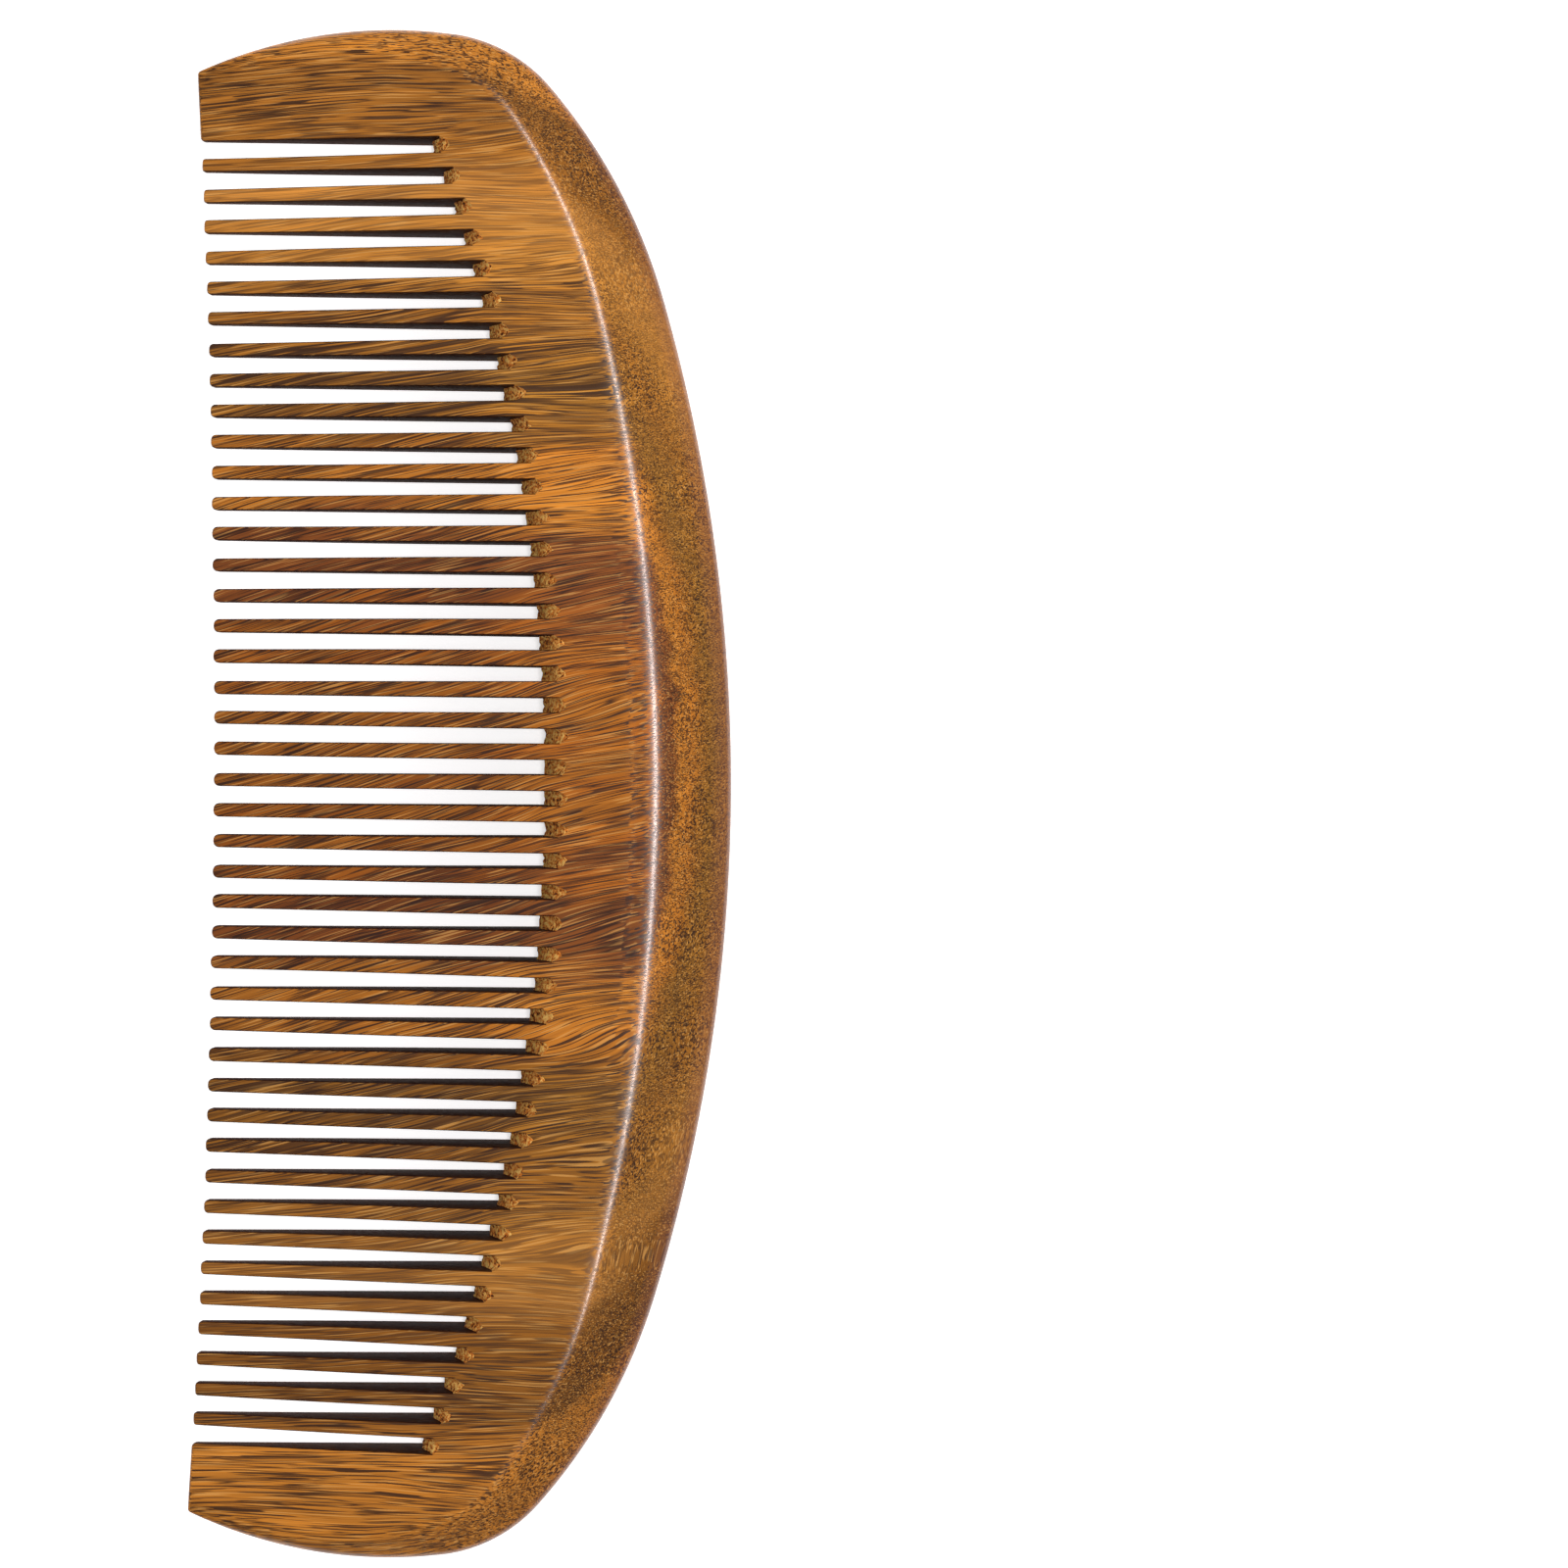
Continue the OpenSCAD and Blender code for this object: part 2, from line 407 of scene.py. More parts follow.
def guard_outer(t):
    """v where a guard's cross-section meets the outline, found by going back and forth between them."""
    rounds = 8
    outer = end_arc_v(GUARD_ROOT * t, 0)
    for _ in range(rounds):
        outer = end_arc_v(guard_u(outer, t), 0)
    return outer


def guard_loop(s, fractions):
    """Closed loop round the left guard at s from its tip."""
    t = s / GUARD_ROOT
    tip_in = GUARD_IN + TOOTH_TAPER * GUARD_ROOT / 2
    inner = tip_in + (GUARD_IN - tip_in) * t
    if s < GUARD_CORNER:
        inner += cut_away(GUARD_CORNER, s)
    rounded = math.sqrt(1 - (1 - min(s / GUARD_NOSE, 1)) ** 2)
    squash = GUARD_THIN + (1 - GUARD_THIN) * rounded
    outer = guard_outer(t) - GUARD_DRAWN * (1 - rounded)
    upper = []
    for f in fractions:
        v = inner + (outer - inner) * f
        u = guard_u(v, t)
        d = END_R - math.hypot(u - END_CENTRE[0], v - END_CENTRE[1])
        upper.append((u, v, half_thickness(u, d) * squash if f < 1 else 0.0))
    inner_v, inner_w = upper[-1][1:]
    for across, down in CORNER[1:]:
        v = inner + (inner_v - inner) * across
        upper.append((guard_u(v, t), v, inner_w - EDGE_R * down * squash))
    return upper + [(u, v, -w) for u, v, w in reversed(upper[1:])]


def build_guard(side, materials):
    """The left guard, or its mirror image at the other end."""
    steps = quarter_turn(GUARD_NOSE, 0.0, GUARD_TIP_RINGS)
    steps += list(np.linspace(GUARD_NOSE, GUARD_ROOT, GUARD_RINGS)[1:])
    fractions = guard_fractions()
    loops = [[(u, side * v, w) for u, v, w in guard_loop(s, fractions)] for s in steps]
    wall = len(fractions) + len(CORNER) - 1
    loft = Loft()
    # the inner wall and the nearest facets of its rounded edge take the dark wall finish, a painted outline
    # of shade
    loft.skin(loops, lambda row, k: WALL if abs(k - wall) <= SHADED_EDGE_FACETS else POLISHED)
    return loft.build(GUARDS[side], materials)


# ---------------------------------------------------------------- the spine

STUB_STEPS, FACE_STEPS, WALL_STEPS, GAP_STEPS = 4, 10, 18, 5
LEVELS = [1 - 2 * m / WALL_STEPS for m in range(WALL_STEPS + 1)]
GULLET_SEED = 7
BLUNT = 0.25  # the most that a gullet's cusp is broken back
ROUGH, ROUGH_AT_WALL = 0.1, 0.3  # spread of the torn grain, and the share of it that is left at a wall
TORN_MIN, TORN_MAX = 0.5, 1.5  # least and greatest depth of the tearing at a face
TORN_TURN = 0.55  # share of it by which the torn face is moved out, so that only its middle is torn back
RAMP_CLEAR = 0.03  # least distance from the roots to a ramp


def ramp_u(root, level):
    """u of a gullet's ramp at a share of the half thickness: 1 is the upper face and 0 the cusp."""
    run = RAMP * abs(level)
    return (root + run * TIP_HALF) / (1 - run * TAN)


def gullet_columns(gap, rng):
    """Across one gullet, u of the ramp at every level: rough end grain, torn back in the middle."""
    root = GAP_ROOTS[gap]
    blunt = rng.uniform(0.0, BLUNT)
    columns = []
    for c in range(GAP_STEPS + 1):
        middle = math.sin(math.pi * c / GAP_STEPS)
        torn = [(middle - TORN_TURN) * rng.uniform(TORN_MIN, TORN_MAX) for _ in range(2)]
        line = []
        for level in LEVELS:
            u = ramp_u(root, level) + rng.normal(0, ROUGH) * (ROUGH_AT_WALL + (1 - ROUGH_AT_WALL) * middle)
            u += abs(level) ** 3 * (torn[0] if level > 0 else torn[1])
            u += blunt * (1 - abs(level)) ** 4 * middle
            line.append(max(u, root + RAMP_CLEAR))
        columns.append(line)
    return columns


def rim_line(v, on_plane):
    """(u, v, d) from the nose in to the face; on_plane keeps the outermost column on its root plane."""
    if on_plane:
        return [(GUARD_ROOT, math.copysign(end_arc_v(GUARD_ROOT, d), v), d) for d in reversed(RIM)]
    heading = heading_at(v, RIM_IN)
    return [rim_point(heading, d) + (d,) for d in reversed(RIM)]


def spine_loop(v, splits, ramp=None, root=None, drop=0.0, on_plane=False):
    """Closed loop of points round the spine: the rim, a face, and what lies before the face.

    That is a gullet's ramp, or a tooth's stub from the split to the root plane, its edge lowered by
    drop. splits are the two values of u where the upper and the lower face begin.
    """
    rim = rim_line(v, on_plane)
    end_u, v = rim[-1][:2]
    halves = []
    for side, split in zip((1, -1), splits):
        half = []
        for u, across, d in rim:
            half.append((u, across, side * (half_thickness(u, d) + sanding(u, across, d, split))))
        for i in range(1, FACE_STEPS + 1):
            u = end_u + (split - end_u) * i / FACE_STEPS
            half.append((u, v, side * (face_half(u) + sanding(u, v, RIM_IN, split))))
        for i in range(1, STUB_STEPS + 1):
            f = i / STUB_STEPS
            u = split if ramp else split + (root - split) * f
            half.append((u, v, side * (face_half(u) - drop * f * (2 - f))))
        halves.append(half)
    front = []
    for m in range(1, WALL_STEPS):
        u = ramp[m] if ramp else root
        front.append((u, v, LEVELS[m] * (face_half(u) - drop)))
    return halves[0] + front + halves[1][:0:-1]


def guard_loops(side, gullet):
    """The spine's loops beside one guard, from the end arc in to the wall of the outermost gap."""
    loops = []
    for k, v in enumerate(guard_columns()):
        share = k / GUARD_STEPS
        splits = [GUARD_ROOT + (gullet[m] - GUARD_ROOT) * share for m in (0, -1)]
        loops.append(spine_loop(side * v, splits, root=GUARD_ROOT, on_plane=k == 0))
    for across, down in CORNER[1:]:
        v = side * (GUARD_IN + EDGE_R * across)
        loops.append(spine_loop(v, (gullet[0], gullet[-1]), root=GUARD_ROOT, drop=EDGE_R * down))
    return loops


def tooth_loops(index, before, after):
    """The spine's loops behind one tooth, between the gullets on its two sides."""
    half = ROOT_W[index] / 2
    edge = [(half - EDGE_R * across, EDGE_R * down) for across, down in reversed(CORNER)]
    places = edge + [(0.0, 0.0)] + [(-offset, drop) for offset, drop in reversed(edge)]
    loops = []
    for offset, drop in places:
        share = 0.5 - offset / (2 * half)
        splits = [before[m] + (after[m] - before[m]) * share for m in (0, -1)]
        loops.append(spine_loop(CENTRE_V[index] + offset, splits, root=ROOTS[index], drop=drop))
    return loops


def gap_loops(gap, gullet):
    """The spine's loops behind one gap."""
    high = GUARD_IN if gap == 0 else CENTRE_V[gap - 1] - ROOT_W[gap - 1] / 2
    low = -GUARD_IN if gap == len(TEETH) else CENTRE_V[gap] + ROOT_W[gap] / 2
    loops = []
    for c, ramp in enumerate(gullet):
        v = high + (low - high) * c / GAP_STEPS
        loops.append(spine_loop(v, (ramp[0], ramp[-1]), ramp=ramp))
    return loops


def spine_strips():
    """Strips of loops from the left guard to the right one: solid wood and gaps take turns."""
    rng = np.random.default_rng(GULLET_SEED)
    gullets = [gullet_columns(gap, rng) for gap in range(len(GAP_V))]
    strips = [guard_loops(1, gullets[0][0])]
    for gap, gullet in enumerate(gullets):
        strips.append(gap_loops(gap, gullet))
        if gap < len(TEETH):
            strips.append(tooth_loops(gap, gullet[-1], gullets[gap + 1][0]))
    strips.append(guard_loops(-1, gullets[-1][-1])[::-1])
    return strips


def build_spine(materials):
    """The back of the comb in one piece; each row of its faces lies between a loop and the next."""
    strips = spine_strips()
    loops, in_gap, shaded_edge_rows = [], [], set()
    for number, strip in enumerate(strips):
        is_gap = number % 2 == 1
        first, last = len(loops), len(loops) + len(strip) - 2
        # the rows of a rounded edge beside a gap take the wall finish: a painted dark outline of shade
        if not is_gap and number > 0:
            shaded_edge_rows.update(first + i for i in range(SHADED_EDGE_FACETS))
        if not is_gap and number < len(strips) - 1:
            shaded_edge_rows.update(last - i for i in range(SHADED_EDGE_FACETS))
        loops += strip
        in_gap += [is_gap] * len(strip)
    stub = len(RIM) + FACE_STEPS
    before_faces = range(stub, stub + 2 * STUB_STEPS + WALL_STEPS)

    def finish_of(row, k):
        """Before the faces, a row is a gullet, a sawn wall between gap and wood, polished wood, or a facet
        of a rounded edge beside a gap that takes the wall's finish as a painted dark outline of shade.
        """
        if k not in before_faces:
            return POLISHED
        if in_gap[row] and in_gap[row + 1]:
            return GULLET
        return WALL if row in shaded_edge_rows or in_gap[row] or in_gap[row + 1] else POLISHED

    loft = Loft()
    loft.skin(loops, finish_of)
    return loft.build("spine", materials)


# ---------------------------------------------------------------- materials out of nodes


def colour(red, green, blue):
    """Linear colour from the usual 0 to 255 values."""
    return tuple(((c / 255 + 0.055) / 1.055) ** 2.4 for c in (red, green, blue)) + (1.0,)


NOISE_LOW, NOISE_HIGH = 0.3, 0.7  # a noise seldom leaves this range


class Graph:
    """A material's node tree, built by short calls that return output sockets."""

    def __init__(self, name):
        self.material = bpy.data.materials.new(name)
        self.material.use_nodes = True
        self.tree = self.material.node_tree
        self.tree.nodes.clear()

    def node(self, kind, inputs, **settings):
        """A new node, its inputs linked to sockets or set to values."""
        node = self.tree.nodes.new(kind)
        for key, value in settings.items():
            setattr(node, key, value)
        for key, value in inputs.items():
            if isinstance(value, bpy.types.NodeSocket):
                self.tree.links.new(value, node.inputs[key])
            else:
                node.inputs[key].default_value = value
        return node

    def math(self, operation, a, b=0.0):
        """One step of arithmetic, on sockets or numbers."""
        return self.node("ShaderNodeMath", {0: a, 1: b}, operation=operation).outputs[0]

    def add(self, a, b):
        return self.math("ADD", a, b)

    def minus(self, a, b):
        return self.math("SUBTRACT", a, b)

    def times(self, a, b):
        return self.math("MULTIPLY", a, b)

    def over(self, a, b):
        return self.math("DIVIDE", a, b)

    def most(self, a, b):
        return self.math("MAXIMUM", a, b)

    def vector_math(self, operation, a, b):
        return self.node("ShaderNodeVectorMath", {0: a, 1: b}, operation=operation).outputs

    def dot(self, vector, direction):
        return self.vector_math("DOT_PRODUCT", vector, direction)["Value"]

    def join(self, x, y, z):
        return self.node("ShaderNodeCombineXYZ", {0: x, 1: y, 2: z}).outputs[0]

    def span(self, value, low, high, to_low=0.0, to_high=1.0):
        """value carried from low..high to to_low..to_high, and clamped there."""
        inputs = {"Value": value, "From Min": low, "From Max": high, "To Min": to_low, "To Max": to_high}
        return self.node("ShaderNodeMapRange", inputs).outputs[0]

    def noise(self, vector, sizes, detail=0.0, roughness=0.5):
        """Noise whose features have these sizes, in the vector's own units, along its three axes."""
        stretched = self.vector_math("DIVIDE", vector, sizes)[0]
        inputs = {"Vector": stretched, "Scale": 1.0, "Detail": detail, "Roughness": roughness}
        return self.node("ShaderNodeTexNoise", inputs).outputs["Fac"]

    def swing(self, noise, to_low, to_high):
        """A noise carried from its usual range to to_low..to_high."""
        return self.span(noise, NOISE_LOW, NOISE_HIGH, to_low, to_high)

    def marks(self, vector, feature, detail=0.0):
        """Separate marks, where a noise of the feature's sizes rises through its two levels."""
        sizes, low, high = feature
        return self.span(self.noise(vector, sizes, detail), low, high)

    def ridge(self, vector, feature):
        """Thin lines, 1 in their middle, where a smooth noise crosses its average."""
        sizes, width = feature
        away = self.math("ABSOLUTE", self.minus(self.noise(vector, sizes, detail=1.0), 0.5))
        return self.span(away, 0.0, width, 1.0, 0.0)

    def ramp(self, value, stops):
        node = self.node("ShaderNodeValToRGB", {0: value})
        elements = node.color_ramp.elements
        elements[0].position, elements[0].color = stops[0]
        elements[1].position, elements[1].color = stops[-1]
        for place, shade in stops[1:-1]:
            elements.new(place).color = shade
        return node.outputs[0]

    def mix(self, factor, a, b, blend="MIX"):
        node = self.node("ShaderNodeMix", {0: factor, 6: a, 7: b}, data_type="RGBA", blend_type=blend)
        return node.outputs[2]

    def shade(self, tint, value):
        """tint made lighter or darker by value."""
        return self.mix(1.0, tint, self.join(value, value, value), blend="MULTIPLY")

    def surface(self, inputs, height, strength, distance):
        """The finished material: a shader with these inputs, and bumps from height."""
        bump = self.node("ShaderNodeBump", {"Height": height, "Strength": strength, "Distance": distance})
        shader = self.node("ShaderNodeBsdfPrincipled", dict(inputs, Normal=bump.outputs[0]))
        self.node("ShaderNodeOutputMaterial", {"Surface": shader.outputs[0]})
        return self.material


# ---------------------------------------------------------------- the wood

# Growth rings, by their depth in millimetres below the middle of the upper face
RING_DEPTH = 18.0
RING_COLOURS = (
    (0.0, colour(178, 108, 34)),
    (0.4, colour(178, 102, 30)),
    (0.8, colour(136, 78, 34)),
    (1.5, colour(146, 84, 36)),
    (2.1, colour(218, 138, 46)),
    (3.0, colour(206, 128, 42)),
    (3.6, colour(180, 116, 38)),
    (4.4, colour(174, 118, 42)),
    (6.6, colour(188, 122, 42)),
    (8.0, colour(196, 131, 50)),
    (11.0, colour(200, 134, 57)),
    (12.5, colour(166, 106, 36)),
    (16.5, colour(154, 98, 34)),
    (18.0, colour(222, 142, 50)),
)
RING_MID_V, RING_R = 6.0, 190.0  # the rings sag away from the face on both sides of this line
DARK_RINGS = (2.9, 3.9, 6.6, 8.2)  # strong dark streaks fade in and out between these depths
QUIET_RINGS = (7.5, 9.0, 12.0, 14.0)  # lines fade, stay faint and grow again between these depths
LINES_FULL, LINES_FAINT = 0.9, 0.5  # strength of the lines

# How the grain runs, in millimetres
RIBBON, RIBBON_V = 12.6, -46.5  # spacing and place of the lines that the interlocked grain runs in to
RIBBON_PLACE = (-3.0, 11.0)  # where it begins and stops to run in, from the roots towards the back
JITTER, JITTER_SIZE = 2.0, (80.0, 25.0, 25.0)  # wandering of those lines
DRIFT, DRIFT_SIZE = 2.0, (24.0, 8.0, 8.0)  # wandering of the grain itself
CLIMB_X = -30.0  # the grain climbs from here towards the back
TOOTH_CLIMB = 0.12  # further slope on the middle teeth

# What changes outward: two distances from the middle of the comb, and the value at each
RIBBON_PULL = (12.0, 34.0, 0.55, 0.95)  # how far the grain is drawn to its lines
CLIMB = (10.0, 55.0, 0.2, 0.03)  # slope of the grain
MIDWAY = (50.0, 78.0, 1.0, 0.0)  # strength of what belongs to the middle teeth

# Features of the grain, with their sizes along it, across it and down from a face, in millimetres.
# Marks have the noise levels where they begin and are full, and lines have their width in noise.
WAVER_SIZE, WAVER = (50.0, 4.0, 6.0), (0.25, 0.75, -0.5, 0.5)  # how the depth of the rings wavers
BAND_SIZE = (45.0, 0.9, 0.5)
FIBRE_SIZE = (12.0, 0.16, 0.1)
BUNDLES = (40.0, 1.3, 1.6), 0.34, 0.56  # where strong streaks gather
STREAKS = (24.0, 0.26, 0.16), 0.47, 0.5  # strong dark streaks
CONTOURS = (18.0, 0.42, 0.4), 0.07  # long thin lines
BREAKS = (9.0, 0.6, 0.3), 0.38, 0.44  # where the long lines are whole
SHORT_LINES = (8.0, 0.14, 0.11), 0.59, 0.63  # pores
FLECKS_AND_SHEEN = (7.0, 0.17, 0.1), 0.6, 0.66  # bright marks of paler wood, partly a painted sheen
OTHER_NOISE = (40.0, 13.0, 7.0)  # a step in the noise, so that its marks don't follow the fibres
SAW_MARK_SIZE = (0.9, 4.0, 0.35)
CLUMP_SIZE = (0.5, 0.42, 0.42)  # torn end grain

# How colour and streaks change over the board: two places, and the value at each
STREAKS_ALONG = (-50.0, 20.0, 0.7, 1.0)  # along y, in millimetres
STREAKS_INWARD = (0.05, 0.25, 1.0, 0.3)  # inward, as a share of the half thickness
SHADE_ALONG = (-62.0, 40.0, 0.68, 1.04)
# painted shade: the bevel and the outer edge are darkened inward from the faces, as light falls off on them
PAINTED_BEVEL_SHADE = (0.0, 0.3, 1.0, 0.72)
BAND_SHADES, FIBRE_SHADES = (0.84, 1.24), (1.18, 0.84)
TOOTH_PLACE, TOOTH_AMOUNT = (-6.0, 1.0, 1.0, 0.0), 0.34  # brown of the teeth, from the roots
RIM_PLACE, RIM_AMOUNT = (0.66, 0.92), 0.42  # rosy outer edge, inward
FLECK_AND_SHEEN_AMOUNT = 0.35

LINE_BROWN = colour(38, 15, 7)
TOOTH_BROWN = colour(66, 22, 6)
FLECK_GOLD_AND_SHEEN = colour(240, 184, 104)
RIM_ROSE = colour(138, 90, 82)
# near black: partly the sawn wood's own brown, partly painted shade for the walls deep in the gaps
WALL_BROWN_AND_SHADE = colour(44, 14, 12)
TORN_GOLD = colour(236, 136, 46)
TORN_LIGHT = colour(255, 206, 112)
PIT_BROWN = colour(52, 24, 8)


class Wood:
    """The wood's pattern, with painted shade on the bevel and a partly painted sheen in its golden marks:
    the same board runs through every piece.
    """

    def __init__(self, graph):
        self.graph = graph
        self.find_place()
        self.find_grain()
        self.find_rings()
        self.draw_lines()
        self.tint = self.mixed_tint()

    def find_place(self):
        """x and y in millimetres, the depth below the upper face, and how far in from a face."""
        g = self.graph
        place = g.node("ShaderNodeTexCoord", {}).outputs["Object"]
        self.x = g.dot(place, (1 / MM, 0, 0))
        self.y = g.dot(place, (0, 1 / MM, 0))
        self.far_out = g.times(self.y, self.y)
        face = lay([(0.0, 0.0, face_half(0.0))])[0]
        up = np.array([-math.sin(2 * SLOPE), 0.0, math.cos(2 * SLOPE)])
        below = g.dot(place, tuple(-up / MM))
        self.depth = g.add(below, float(up @ face) / MM)
        thicker = g.dot(place, (COS * TAN / MM, 0, SIN * TAN / MM))
        self.half = g.add(thicker, TIP_HALF - SHIFT * COS * TAN)
        # Share of the way from a face to the middle plane, which is 1 at the outer edge
        share = g.over(self.depth, self.half)
        self.inward = g.minus(1.0, g.math("ABSOLUTE", g.minus(share, 1.0)))

    def outward(self, change):
        """A value that changes between two distances from the comb's middle."""
        near, far, at_near, at_far = change
        return self.graph.span(self.far_out, near**2, far**2, at_near, at_far)

    def find_grain(self):
        """Coordinates along and across the grain, which runs in to a few lines behind the teeth."""
        g = self.graph
        plain = g.join(self.x, self.y, self.depth)
        root_x = g.minus(GAP_ROOTS[MID_GAP] + SHIFT, g.over(self.far_out, 2 * ROOT_ARC_R))
        self.from_root = g.minus(self.x, root_x)
        behind = g.times(g.span(self.from_root, *RIBBON_PLACE), self.outward(RIBBON_PULL))
        jitter = g.times(g.noise(plain, JITTER_SIZE), JITTER)
        from_ribbon = g.add(self.y, g.minus(jitter, RIBBON_V + JITTER / 2))
        wave = g.math("SINE", g.times(from_ribbon, 2 * math.pi / RIBBON))
        self.drawn_in = g.add(self.y, g.times(wave, behind))

        # Over the whole board the grain climbs and drifts
        self.midway = self.outward(MIDWAY)
        climb = g.times(g.minus(self.x, CLIMB_X), self.outward(CLIMB))
        steeper = g.times(g.math("MINIMUM", self.from_root, 0.0), g.times(self.midway, TOOTH_CLIMB))
        drift = g.times(g.minus(g.noise(plain, DRIFT_SIZE), 0.5), DRIFT)
        across = g.add(g.minus(self.drawn_in, g.add(climb, steeper)), drift)
        self.through = g.join(self.x, across, self.depth)
        self.grain = g.join(self.x, across, g.times(self.half, self.inward))

    def find_rings(self):
        """Depth in the growth rings, and where the strong dark streaks are."""
        g = self.graph
        off = g.minus(self.drawn_in, RING_MID_V)
        sag = g.over(g.times(off, off), 2 * RING_R)
        waver = g.span(g.noise(self.through, WAVER_SIZE, detail=1.0), *WAVER)
        self.ring = g.add(g.add(sag, self.depth), waver)
        start, full, end, gone = DARK_RINGS
        zone = g.times(g.span(self.ring, start, full), g.span(self.ring, end, gone, 1.0, 0.0))
        zone = g.times(zone, g.span(self.inward, *STREAKS_INWARD))
        zone = g.times(zone, g.span(self.y, *STREAKS_ALONG))
        self.dark = g.times(zone, g.marks(self.grain, BUNDLES, detail=2.0))

    def draw_lines(self):
        """Faint fibres, crisp dark lines and pores, and a few bright golden marks: paler wood, partly a
        painted sheen.
        """
        g = self.graph
        self.fibre = g.noise(self.grain, FIBRE_SIZE, detail=1.0)
        shifted = g.vector_math("ADD", self.grain, OTHER_NOISE)[0]
        contour = g.times(g.ridge(self.grain, CONTOURS), g.marks(shifted, BREAKS))
        strong = g.times(g.marks(shifted, STREAKS), self.dark)
        self.lines = g.most(g.most(contour, strong), g.marks(shifted, SHORT_LINES))
        self.flecks_and_sheen = g.marks(shifted, FLECKS_AND_SHEEN)

    def mixed_tint(self):
        """The rings' colours, shaded by place and fibre, with painted shade darkening the bevel, under the
        golden marks (paler wood, partly a painted sheen), the lines and a rosy rim.
        """
        g = self.graph
        stops = [(depth / RING_DEPTH, shade) for depth, shade in RING_COLOURS]
        tint = g.ramp(g.over(self.ring, RING_DEPTH), stops)
        bands = g.noise(self.grain, BAND_SIZE, detail=2.0)
        tint = g.shade(tint, g.swing(bands, *BAND_SHADES))
        tint = g.shade(tint, g.swing(self.fibre, *FIBRE_SHADES))
        tint = g.shade(tint, g.span(self.y, *SHADE_ALONG))
        # painted shade: darkens the bevel and the outer edge, where the light falls off
        tint = g.shade(tint, g.span(self.inward, *PAINTED_BEVEL_SHADE))
        on_teeth = g.times(g.span(self.from_root, *TOOTH_PLACE), self.midway)
        tint = g.mix(g.times(on_teeth, TOOTH_AMOUNT), tint, TOOTH_BROWN)
        # paler golden marks, partly a painted sheen on the fibres
        tint = g.mix(g.times(self.flecks_and_sheen, FLECK_AND_SHEEN_AMOUNT), tint, FLECK_GOLD_AND_SHEEN)
        fade, faint, grow, full = QUIET_RINGS
        above = g.span(self.ring, fade, faint, LINES_FULL, LINES_FAINT)
        below = g.span(self.ring, grow, full, LINES_FAINT, LINES_FULL)
        tint = g.mix(g.times(self.lines, g.most(above, below)), tint, LINE_BROWN)
        rim = g.span(self.inward, *RIM_PLACE)
        return g.mix(g.times(rim, RIM_AMOUNT), tint, RIM_ROSE)


def polished_wood():
    """The faces, the bevel and the outer edge: glossy, with the dark lines a little sunk."""
    g = Graph("polished wood")
    wood = Wood(g)
    rough = g.add(g.swing(wood.fibre, 0.19, 0.25), g.times(wood.lines, 0.1))
    height = g.minus(g.times(wood.fibre, 0.3), wood.lines)
    inputs = {"Base Color": wood.tint, "Roughness": rough, "Specular IOR Level": 0.6}
    return g.surface(inputs, height, strength=0.06, distance=0.00004)


def sawn_wall_with_painted_shade():
    """The walls of the gaps: dull, with faint saw marks, and near black: partly the sawn wood's own darker
    brown, partly painted shade for walls deep in the narrow gaps.
    """
    g = Graph("sawn tooth wall with painted shade")
    wood = Wood(g)
    marks = g.noise(wood.through, SAW_MARK_SIZE, detail=3.0)
    # painted shade, with some of the sawn wood's own darker brown: the walls turn near black
    tint = g.mix(0.85, wood.tint, WALL_BROWN_AND_SHADE)
    tint = g.shade(tint, g.swing(marks, 0.6, 1.1))
    inputs = {"Base Color": tint, "Roughness": g.swing(marks, 0.7, 0.9), "Specular IOR Level": 0.08}
    return g.surface(inputs, marks, strength=0.4, distance=0.00012)


def torn_end_grain():
    """The gullets: rough clumps of pale gold with dark pits."""
    g = Graph("torn end grain")
    wood = Wood(g)
    clumps = g.noise(wood.through, CLUMP_SIZE, detail=4.0, roughness=0.65)
    tint = g.mix(0.8, wood.tint, TORN_GOLD)
    tint = g.mix(g.span(clumps, 0.49, 0.57), tint, TORN_LIGHT)
    tint = g.mix(g.span(clumps, 0.44, 0.38), tint, PIT_BROWN)
    inputs = {"Base Color": tint, "Roughness": 0.85, "Specular IOR Level": 0.25}
    return g.surface(inputs, clumps, strength=0.7, distance=0.0003)


# ---------------------------------------------------------------- floor, light and camera, in metres

FLOOR_REACH, FLOOR_STEPS = 4.0, 24
FLOOR_RISE, FLOOR_FLAT = 3.0, 0.7  # the floor curves up outside this share of its reach
FLOOR_GLOW = 0.68  # lifts the floor to white, even between the teeth
ROOM_LIGHT = 0.13
LENS, SENSOR = 74.9, 36.0  # in millimetres
EYE, TARGET = Vector((0.0381, 0.0074, 0.387)), Vector((0.0381, 0.0019, 0.004))  # from the comb's middle
ROLL = math.radians(-0.55)  # turns the camera, which leans the comb to the right


def floor_mesh():
    """A sheet whose far edges curve up, well outside the picture."""
    work = bmesh.new()
    rows = []
    for i in range(FLOOR_STEPS + 1):
        row = []
        for j in range(FLOOR_STEPS + 1):
            x = FLOOR_REACH * (2 * i / FLOOR_STEPS - 1)
            y = FLOOR_REACH * (2 * j / FLOOR_STEPS - 1)
            out = max(abs(x), abs(y)) / FLOOR_REACH
            row.append(work.verts.new((x, y, FLOOR_RISE * max(out - FLOOR_FLAT, 0) ** 2)))
        rows.append(row)
    for a, b in zip(rows, rows[1:]):
        for j in range(FLOOR_STEPS):
            work.faces.new((a[j], b[j], b[j + 1], a[j + 1]))
    mesh = bpy.data.meshes.new("floor")
    work.to_mesh(mesh)
    work.free()
    return mesh


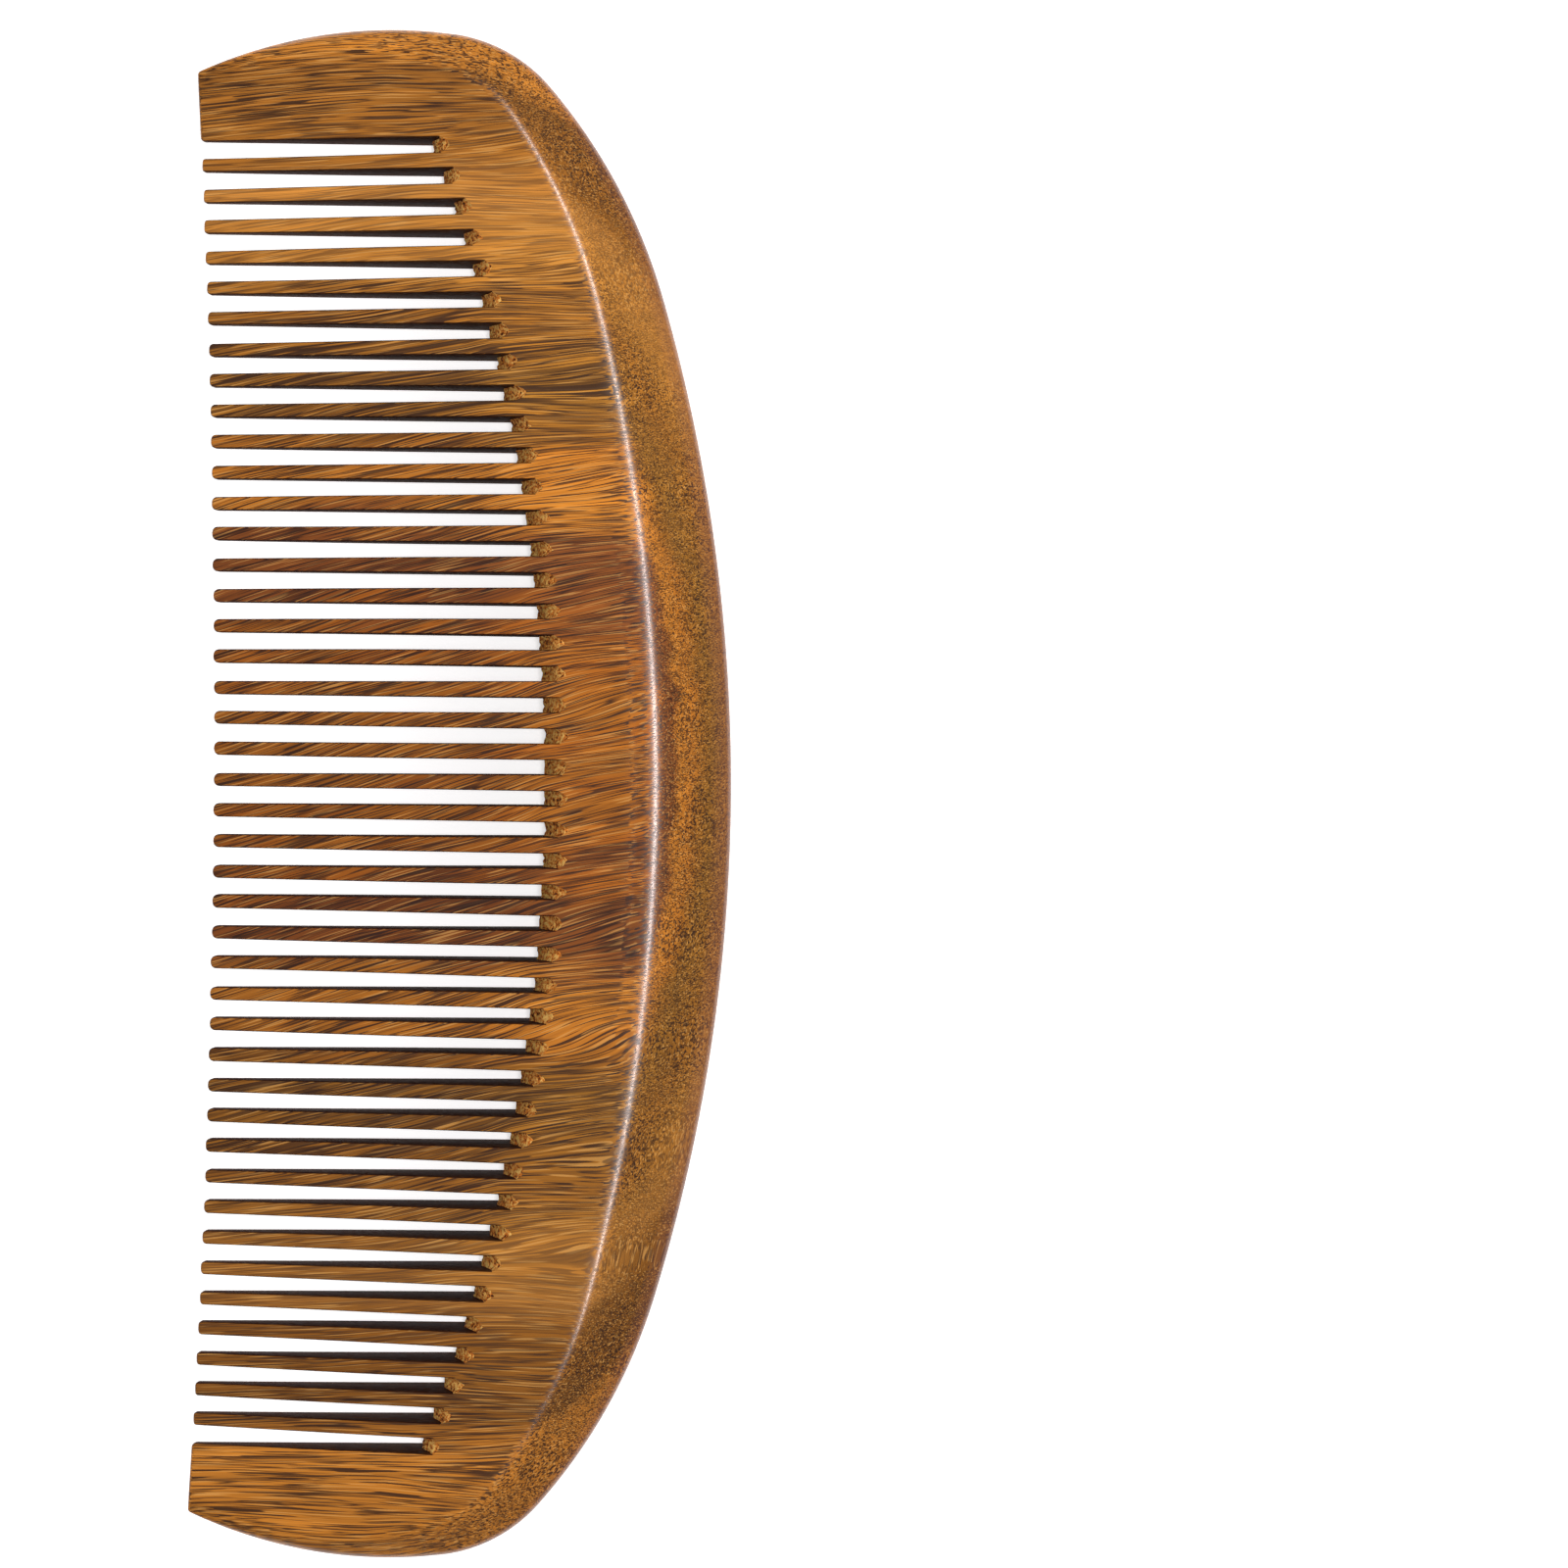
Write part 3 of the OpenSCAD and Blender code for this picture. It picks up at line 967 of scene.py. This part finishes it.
def pale_floor():
    g = Graph("pale floor")
    place = g.node("ShaderNodeTexCoord", {}).outputs["Object"]
    grain = g.noise(place, (0.02, 0.02, 0.02), detail=4.0)
    tint = g.mix(grain, (0.86, 0.86, 0.86, 1), (0.9, 0.9, 0.9, 1))
    inputs = {"Base Color": tint, "Roughness": 0.8}
    inputs.update({"Emission Color": (1, 1, 1, 1), "Emission Strength": FLOOR_GLOW})
    return g.surface(inputs, grain, strength=0.02, distance=0.0002)


def floor():
    """The sheet that the comb lies on, which is no part of it."""
    mesh = floor_mesh()
    mesh.materials.append(pale_floor())
    sheet = bpy.data.objects.new("floor", mesh)
    bpy.context.scene.collection.objects.link(sheet)


def aim(thing, place, target, up):
    """Puts a light or a camera at place, looking at target, with its own Y towards up."""
    back = (Vector(place) - Vector(target)).normalized()
    right = Vector(up).cross(back).normalized()
    turn = Matrix((right, back.cross(right), back)).transposed()
    thing.matrix_world = Matrix.Translation(place) @ turn.to_4x4()
    bpy.context.scene.collection.objects.link(thing)


def area_light(name, place, target, size, power, tint=(1, 1, 1)):
    """A soft light, whose second size lies along the row of teeth."""
    light = bpy.data.lights.new(name, "AREA")
    light.shape = "RECTANGLE"
    light.size, light.size_y = size
    light.energy = power
    light.color = tint
    aim(bpy.data.objects.new(name, light), place, target, up=(0, 1, 0))


def studio_light():
    """A white room, a long strip that draws the highlight along the crease, and a weak flash."""
    world = bpy.data.worlds.new("soft white room")
    world.use_nodes = True
    background = world.node_tree.nodes["Background"]
    background.inputs["Color"].default_value = (1, 1, 1, 1)
    background.inputs["Strength"].default_value = ROOM_LIGHT
    bpy.context.scene.world = world
    area_light(
        "strip overhead",
        place=(0.11, 0.095, 0.6),
        target=(0.02, 0.095, 0),
        size=(0.045, 0.76),
        power=4.1,
        tint=(1, 0.94, 0.95),
    )
    area_light(
        "flash beside the lens",
        place=(0.09, 0.0, 0.42),
        target=(0.01, 0, 0),
        size=(0.05, 0.05),
        power=0.12,
    )
    bpy.context.scene.view_settings.view_transform = "Standard"


def camera():
    """Looks straight down; the comb fills the left half of the picture, as its pair has the right half."""
    data = bpy.data.cameras.new("camera")
    data.lens, data.sensor_width = LENS, SENSOR
    lens = bpy.data.objects.new("camera", data)
    middle = Vector(((cad_box[0][0] + cad_box[1][0]) / 2, (cad_box[0][1] + cad_box[1][1]) / 2, 0))
    aim(lens, middle + EYE, middle + TARGET, up=(math.sin(ROLL), math.cos(ROLL), 0))
    bpy.context.scene.camera = lens


# ---------------------------------------------------------------- the scene

camera()
studio_light()
floor()
finishes = [polished_wood(), sawn_wall_with_painted_shade(), torn_end_grain()]
build_spine(finishes)
for end in GUARDS:
    build_guard(end, finishes)
for number in range(len(TEETH)):
    build_tooth(number, finishes)
